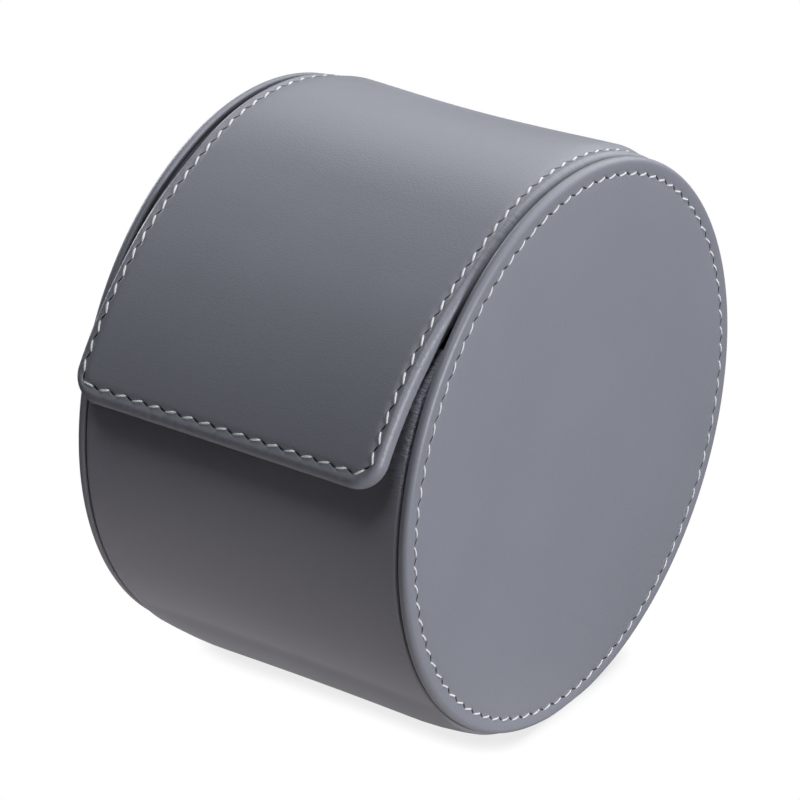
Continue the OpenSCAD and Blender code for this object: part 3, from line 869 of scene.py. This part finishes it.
# %% [markdown]
# ## Linings
# The lining is thin suede glued to the board. On the barrel it runs round the inside
# from the front lip to the hinge, on each cap it is a disc, and in the flap it covers
# the middle inside the border of turned leather.

# %% Barrel, flap and cap linings
across = np.linspace(-HALF_LENGTH, HALF_LENGTH, 13)[None, :]
around = np.linspace(TURNED_IN_TO, WALL_REAR_ANGLE, 200)[:, None]
piece = sheet("barrel_suede", around_axis(across, BOARD_INNER, around),
              around_axis(across, BORE, around))
finish(piece, lining_suede)
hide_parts("barrel_lining")
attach(piece, "case")

BORDER, LINING_CORNER, LINING_PROUD = 6.0, 5.0, 0.12
lining_end = FLAP_LENGTH - BORDER
turn_from = lining_end - LINING_CORNER
rows = np.concatenate([
    np.linspace(0.0, 2.4, 7), np.linspace(3.0, turn_from, 88),
    turn_from + LINING_CORNER * np.sin(np.linspace(0, math.pi / 2, 14))[1:]])[:, None]
half = FLAP_HALF - 0.25 - BORDER - rolled(lining_end - rows, LINING_CORNER)
share = np.linspace(-0.96, 0.96, 25)
share = np.concatenate([[-1.0, -0.995, -0.985], share, [0.985, 0.995, 1.0]])
x = half * share[None, :]
soft = rolled(np.minimum(half - np.abs(x), lining_end - rows), 0.3)
proud = LINING_PROUD + (LINING - LINING_PROUD) * (1 - np.clip(rows / FOLD_SLOPE, 0, 1))
piece = sheet("flap_suede", flap_surface(x, rows, inner_depth(rows) - LINING),
              flap_surface(x, rows, inner_depth(rows) + proud - soft))
finish(piece, lining_suede)
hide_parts("flap_lining")
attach(piece, "flap")


def disc_profile(radius, near, far, soft):
    """A flat disc with a softly rounded rim, from its middle on one side to the other."""
    a = np.linspace(0, math.pi / 2, 6)
    edge_near = pairs(radius - soft + soft * np.sin(a), near + soft - soft * np.cos(a))
    edge_far = pairs(radius - soft + soft * np.cos(a), far - soft + soft * np.sin(a))
    flat = np.linspace(0.0, radius - soft, 12)[:-1]
    return np.concatenate([pairs(flat, near), edge_near, edge_far, pairs(flat[::-1], far)])


for side, word in SIDES:
    disc = disc_profile(BOARD_OUTER + 0.22, HALF_LENGTH, HALF_LENGTH + LINING, 0.2)
    piece = lathe(f"{word}_cap_suede", disc, cap_turn(side), 128)
    finish(piece, lining_suede)
    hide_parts(f"{word}_cap_lining")
    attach(piece, "case")

# %% [markdown]
# ## The fold
# Between the flap and the barrel's back lies a narrow band of thin leather and suede
# that bends when the flap opens. It is made as a fine sheet in the closed shape.

# %% Fold leather and fold suede
across = side_columns(FLAP_HALF, fine=3.0)
turns = np.linspace(HINGE_ANGLE + FOLD_HALF_ANGLE, FLAP_TOP_ANGLE, 25)[:, None]
drop = waist(across, FLAP_HALF) + rolled(FLAP_HALF - np.abs(across), EDGE_ROLL - 0.1)
fold_start = around_axis(0.0, HINGE_RADIUS, HINGE_ANGLE + FOLD_HALF_ANGLE) * MM
fold_end = around_axis(0.0, HINGE_RADIUS, FLAP_TOP_ANGLE) * MM
for name, node, slot, material, top, low in (
        ("fold_skin", "fold_leather", "grey_leather", barrel_leather,
         CASE_RADIUS - drop, BOARD_OUTER),
        ("fold_suede", "fold_lining", "grey_suede", lining_suede, BOARD_OUTER,
         BOARD_OUTER - LINING)):
    piece = sheet(name, around_axis(across, top, turns), around_axis(across, low, turns))
    finish(piece, material)
    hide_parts(node)
    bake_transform(piece)

# %% [markdown]
# ## The cushion
# The watch is strapped round a soft roll that lifts out. Its suede sleeve is filled,
# so it is made as cloth: an oval roll, a little smaller than the finished one, is
# blown up by a light pressure, and the distance that any point may move is capped.

# %% Oval roll
CUSHION_HEIGHT, CUSHION_DEPTH = 46.0, 56.0
CUSHION_HALF = HALF_LENGTH - 2.2
PIPING = 1.3
END_RADIUS = CUSHION_HEIGHT / 2
END_OFFSET = (CUSHION_DEPTH - CUSHION_HEIGHT) / 2
REACH = BORE - 0.3 - END_RADIUS
CUSHION_AXIS = AXIS_HEIGHT - math.sqrt(REACH ** 2 - END_OFFSET ** 2)
SLEEVE_HALF = CUSHION_HALF - 2 * PIPING
print("cushion axis height", round(CUSHION_AXIS, 2), "mm")


def oval_turn(radius, place, angle):
    """Points of an oval ring: a circle whose front and back halves are moved apart."""
    radius, place, angle = np.broadcast_arrays(radius, place, angle)
    a = np.radians(angle)
    y, z = -radius * np.cos(a), radius * np.sin(a)
    spread = END_OFFSET * np.clip(-3.0 * np.cos(a), -1, 1) * np.clip(radius / 4.0, 0, 1)
    return np.stack([place, y + spread, z + CUSHION_AXIS], -1)


def cushion_profile(radius, half, soft):
    """A roll with rounded ends, from the middle of one end to the middle of the other."""
    a = np.linspace(0, math.pi / 2, 8)
    one = pairs(radius - soft + soft * np.sin(a), -half + soft - soft * np.cos(a))
    left = np.concatenate([pairs(np.linspace(0.0, radius - soft, 10)[:-1], -half), one])
    middle = pairs(radius, np.linspace(-half + soft, half - soft, 32)[1:-1])
    return np.concatenate([left, middle, left[::-1] * [1, -1]])


COVER_RADIUS = END_RADIUS - PIPING / 2
STARTS_SMALLER, MOST_MOVE = 1.3, 1.1 * MM
pad = finish(lathe("cushion_pad", cushion_profile(COVER_RADIUS - STARTS_SMALLER,
                                                  SLEEVE_HALF + 0.8, 2.0),
                   oval_turn, 160), cushion_suede)

# %% Fill the cushion
def apply_modifier(piece, modifier):
    """Makes what a modifier does part of the mesh."""
    bpy.ops.object.select_all(action="DESELECT")
    piece.select_set(True)
    bpy.context.view_layer.objects.active = piece
    bpy.ops.object.modifier_apply(modifier=modifier.name)


remesh = pad.modifiers.new("even cloth", "REMESH")
remesh.mode, remesh.voxel_size = "VOXEL", 2.0 * MM
apply_modifier(pad, remesh)
points = np.empty(len(pad.data.vertices) * 3)
pad.data.vertices.foreach_get("co", points)
start = points.reshape(-1, 3).copy()
cloth = pad.modifiers.new("filling", "CLOTH")
cloth.settings.quality = 6
cloth.settings.mass = 0.2
cloth.settings.use_pressure = True
cloth.settings.uniform_pressure_force = 4.0
cloth.settings.effector_weights.gravity = 0.0
cloth.settings.tension_stiffness = 12.0
cloth.settings.compression_stiffness = 12.0
for number in range(1, 21):
    bpy.context.scene.frame_set(number)
apply_modifier(pad, cloth)
bpy.context.scene.frame_set(1)
pad.data.vertices.foreach_get("co", points)
moved = points.reshape(-1, 3) - start
span = np.linalg.norm(moved, axis=1, keepdims=True)
moved *= np.minimum(1.0, MOST_MOVE / np.maximum(span, 1e-9))
pad.data.vertices.foreach_set("co", (start + moved).ravel())
pad.data.update()
print("cloth moved at most", round(float(span.max()) / MM, 2), "mm")
subdivide = pad.modifiers.new("rounder", "SUBSURF")
subdivide.levels = subdivide.render_levels = 1
apply_modifier(pad, subdivide)
pad.data.polygons.foreach_set("use_smooth", np.ones(len(pad.data.polygons), bool))
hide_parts("cushion_core", "cushion_cover")
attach(pad, "cushion")

# %% [markdown]
# Each end of the roll is a separate oval panel, crowned by the filling behind it, and
# a leather cord is sewn into the seam around it. The cord is a circle carried round
# the oval.

# %% End panels and piping
for side, word in SIDES:
    r = np.linspace(0.0, END_RADIUS - 1.6 * PIPING, 20)
    crown = 1.1 * (1 - (r / r[-1]) ** 2) ** 0.8
    face = pairs(r, side * (SLEEVE_HALF + 1.3 + crown))
    rear = pairs(r[::-1], side * (SLEEVE_HALF + 0.1))
    panel = lathe(f"cushion_{word}_end", np.concatenate([face, rear]), oval_turn, 128)
    finish(panel, cushion_suede)
    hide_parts(f"cushion_{word}_panel")
    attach(panel, "cushion")

    angle = np.linspace(0, 360, 200, endpoint=False)[:, None]
    g = np.radians(np.linspace(0, 360, 16, endpoint=False)[None, :])
    ring = oval_turn(END_RADIUS - PIPING + PIPING * np.cos(g),
                     side * (CUSHION_HALF - PIPING + PIPING * np.sin(g)), angle).reshape(-1, 3)
    quads = grid_quads(200, 16, rows_meet=True, columns_meet=True)[:, [0, 3, 2, 1]]
    if inside_out(ring, quads):
        quads = quads[:, ::-1]
    cord = finish(write_mesh(f"cushion_{word}_cord", ring, quads), barrel_leather)
    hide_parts(f"cushion_{word}_piping")
    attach(cord, "cushion")

# %% [markdown]
# ## Floor, light and camera
# Soft goods are photographed with one large lamp that shows their form and weaker ones
# that open its shadows. Here the large lamp stands high behind the case, so that the
# flap is bright at the back and falls off towards its free edge. A small lamp high in
# front draws the soft shadow under the flap, and one on either side lights a cap. The
# case stands on a small white card in a dark room: the card sends light back to the
# lower front, and everything beyond it is kept dark, because a wide white floor would
# fill every shadow. In reflections the card also glows, a painted reflection. To the
# camera the floor and the room are plain white, and a short occlusion paints a shadow
# on the floor where the case touches it, and dims the card's painted glow there.

# %% Floor
bpy.ops.mesh.primitive_plane_add(size=6.0, location=(0.0, 0.0, -0.00015))
floor = bpy.context.active_object
floor.name = "floor"
white, nodes, shader = new_material("white_floor", Roughness=0.9, Specular_IOR_Level=0.1)
path = nodes.add("ShaderNodeLightPath")
CARD_MIDDLE, CARD_COLOR = (-0.015, -0.06, 0.0), (0.86, 0.74, 0.74)
from_middle = nodes.add("ShaderNodeVectorMath", {0: nodes.object_place(), 1: CARD_MIDDLE},
                        operation="DISTANCE").outputs["Value"]
card_edge = nodes.ramp(from_middle, 0.035, 0.095, 1.0, 0.04)
nodes.feed(shader, Base_Color=nodes.shaded(CARD_COLOR, card_edge))
# Painted shadow: a short occlusion darkens the floor's white where the case touches it, and below
# dims the card's painted glow there.
nearby = nodes.add("ShaderNodeAmbientOcclusion", {"Distance": 0.004}, samples=16)
shade = nodes.ramp(nearby.outputs["AO"], 0.25, 0.85, 0.80, 1.0)
below = nodes.ramp(nearby.outputs["AO"], 0.3, 1.0, 0.05, 0.62)
# Painted glow: to the camera the floor shows as white, and to glossy rays the card glows as a
# painted reflection.
painted_glow = nodes.add("ShaderNodeEmission", {
    "Color": shade, "Strength": nodes.math("MAXIMUM", path.outputs["Is Camera Ray"],
                                           nodes.times(card_edge, below))})
split = nodes.add("ShaderNodeMixShader", {
    0: nodes.math("MAXIMUM", path.outputs["Is Camera Ray"], path.outputs["Is Glossy Ray"]),
    1: shader.outputs[0], 2: painted_glow.outputs[0]})
surface = next(n for n in white.node_tree.nodes if n.type == "OUTPUT_MATERIAL")
nodes.feed(surface, Surface=split.outputs[0])
finish(floor, white)

# %% World
world = bpy.data.worlds.new("studio")
bpy.context.scene.world = world
world.use_nodes = True
nodes = Nodes(world.node_tree)
world.node_tree.nodes.clear()
path = nodes.add("ShaderNodeLightPath")
seen = nodes.math("MAXIMUM", path.outputs["Is Camera Ray"], path.outputs["Is Transmission Ray"])
plain = nodes.add("ShaderNodeBackground", {"Color": (0.96, 0.97, 1.0, 1.0), "Strength": 0.02})
bright = nodes.add("ShaderNodeBackground", {"Color": (1.0, 1.0, 1.0, 1.0), "Strength": 1.0})
mixed = nodes.add("ShaderNodeMixShader", {0: seen, 1: plain.outputs[0], 2: bright.outputs[0]})
nodes.add("ShaderNodeOutputWorld", {"Surface": mixed.outputs[0]})

# %% Lamps
from mathutils import Vector


def aimed(name, data, place, direction):
    """A lamp or camera at a place, turned to look along a direction."""
    holder = bpy.data.objects.new(name, data)
    bpy.context.collection.objects.link(holder)
    holder.location = place
    holder.rotation_euler = direction.to_track_quat("-Z", "Y").to_euler()
    return holder


LIT = Vector((0.0, 0.0, 0.05))
for name, place, size, power in (
        ("behind", (0.10, 0.95, 1.00), 2.2, 28.5), ("above", (0.10, -0.52, 1.06), 0.35, 3.0),
        ("right", (1.20, -0.07, 0.22), 0.4, 11.6), ("left", (-1.10, 0.42, 0.35), 0.6, 8.0)):
    light = bpy.data.lights.new(name, "AREA")
    light.shape, light.size, light.energy = "DISK", size, power
    aimed(name, light, place, LIT - Vector(place))

# %% Camera
azimuth, elevation, distance = math.radians(34.83), math.radians(26.68), 12.97 * 0.0475
towards = Vector((math.sin(azimuth) * math.cos(elevation),
                  -math.cos(azimuth) * math.cos(elevation), math.sin(elevation)))
middle = Vector((0.0, 0.0, AXIS_HEIGHT * MM))
camera = bpy.data.cameras.new("camera")
FRAME, SENSOR = 800.0, 36.0
camera.lens, camera.sensor_width = 3769.0 / FRAME * SENSOR, SENSOR
camera.shift_x, camera.shift_y = -12.7 / FRAME, -2.2 / FRAME
camera.clip_start, camera.clip_end = 0.01, 20.0
bpy.context.scene.camera = aimed("camera", camera, middle + towards * distance, -towards)
bpy.context.scene.view_settings.view_transform = "Standard"
